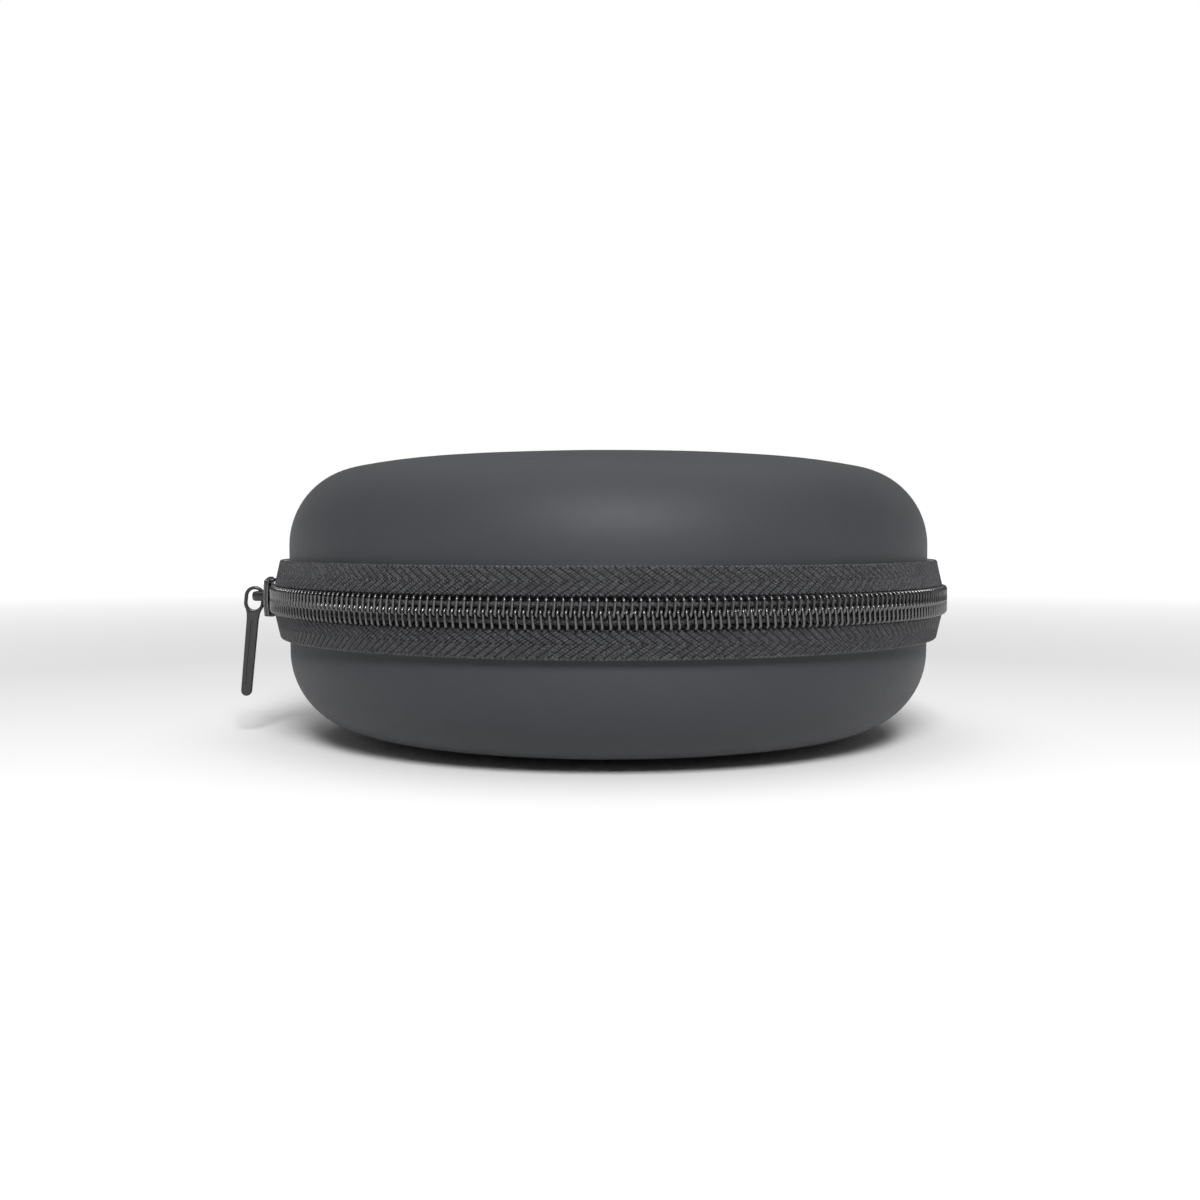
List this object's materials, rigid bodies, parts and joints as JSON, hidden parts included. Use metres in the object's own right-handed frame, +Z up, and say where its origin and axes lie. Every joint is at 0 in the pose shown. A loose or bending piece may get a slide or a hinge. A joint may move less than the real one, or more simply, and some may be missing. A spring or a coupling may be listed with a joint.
{
  "type": "headphone carrying case",
  "caption": "Round hard-shell headphone case: two moulded shells joined by a fabric hinge and closed by a coil zip round the wall.",
  "frame": {"origin": "centre of the flat bottom, on the surface that the case rests on", "axes": "+Z up through the case, -Y to the front where it opens, hinge at +Y"},
  "size_m": [0.165, 0.165, 0.068],
  "materials": {
    "shell_skin": "matte polyurethane skin laminated on moulded EVA foam",
    "lining": "brushed knit lining",
    "binding": "woven binding tape",
    "thread": "polyester sewing thread",
    "zip_tape": "herringbone woven polyester tape",
    "zip_coil": "satin polyester monofilament",
    "zip_metal": "satin black painted zinc",
    "mesh": "knitted nylon mesh"
  },
  "bodies": {
    "base": {"base_shell": "shell_skin", "base_lining": "lining", "base_rim_binding": "binding", "base_seam_thread": "thread", "base_zip_tape": "zip_tape", "base_zip_coil": "zip_coil", "base_zip_stops": "zip_coil"},
    "lid": {"lid_shell": "shell_skin", "lid_lining": "lining", "lid_rim_binding": "binding", "lid_seam_thread": "thread", "lid_zip_tape": "zip_tape", "lid_zip_coil": "zip_coil", "lid_zip_stops": "zip_coil", "mesh_pocket": "mesh", "pocket_elastic": "binding", "pocket_edging": "binding", "hinge_fabric": "zip_tape", "hinge_lining": "lining"},
    "zip_slider": {"slider_body": "zip_metal"},
    "zip_pull": {"pull_tab": "zip_metal"}
  },
  "joints": [
    {"name": "lid_hinge", "type": "hinge", "parent": "base", "child": "lid", "pos_m": [0, 0.0804, 0.034], "axis": [-1, 0, 0], "range_deg": [0, 170], "deforming": ["lid_zip_tape", "lid_zip_coil", "hinge_fabric", "hinge_lining"]},
    {"name": "slider_travel", "type": "hinge", "parent": "base", "child": "zip_slider", "pos_m": [0, 0, 0.034], "axis": [0, 0, 1], "range_deg": [0, 302]},
    {"name": "pull_swing", "type": "hinge", "parent": "zip_slider", "child": "zip_pull", "pos_m": [-0.04208, 0.07592, 0.0343], "axis": [0.8746, 0.4848, 0], "range_deg": [0, 169]}
  ]
}
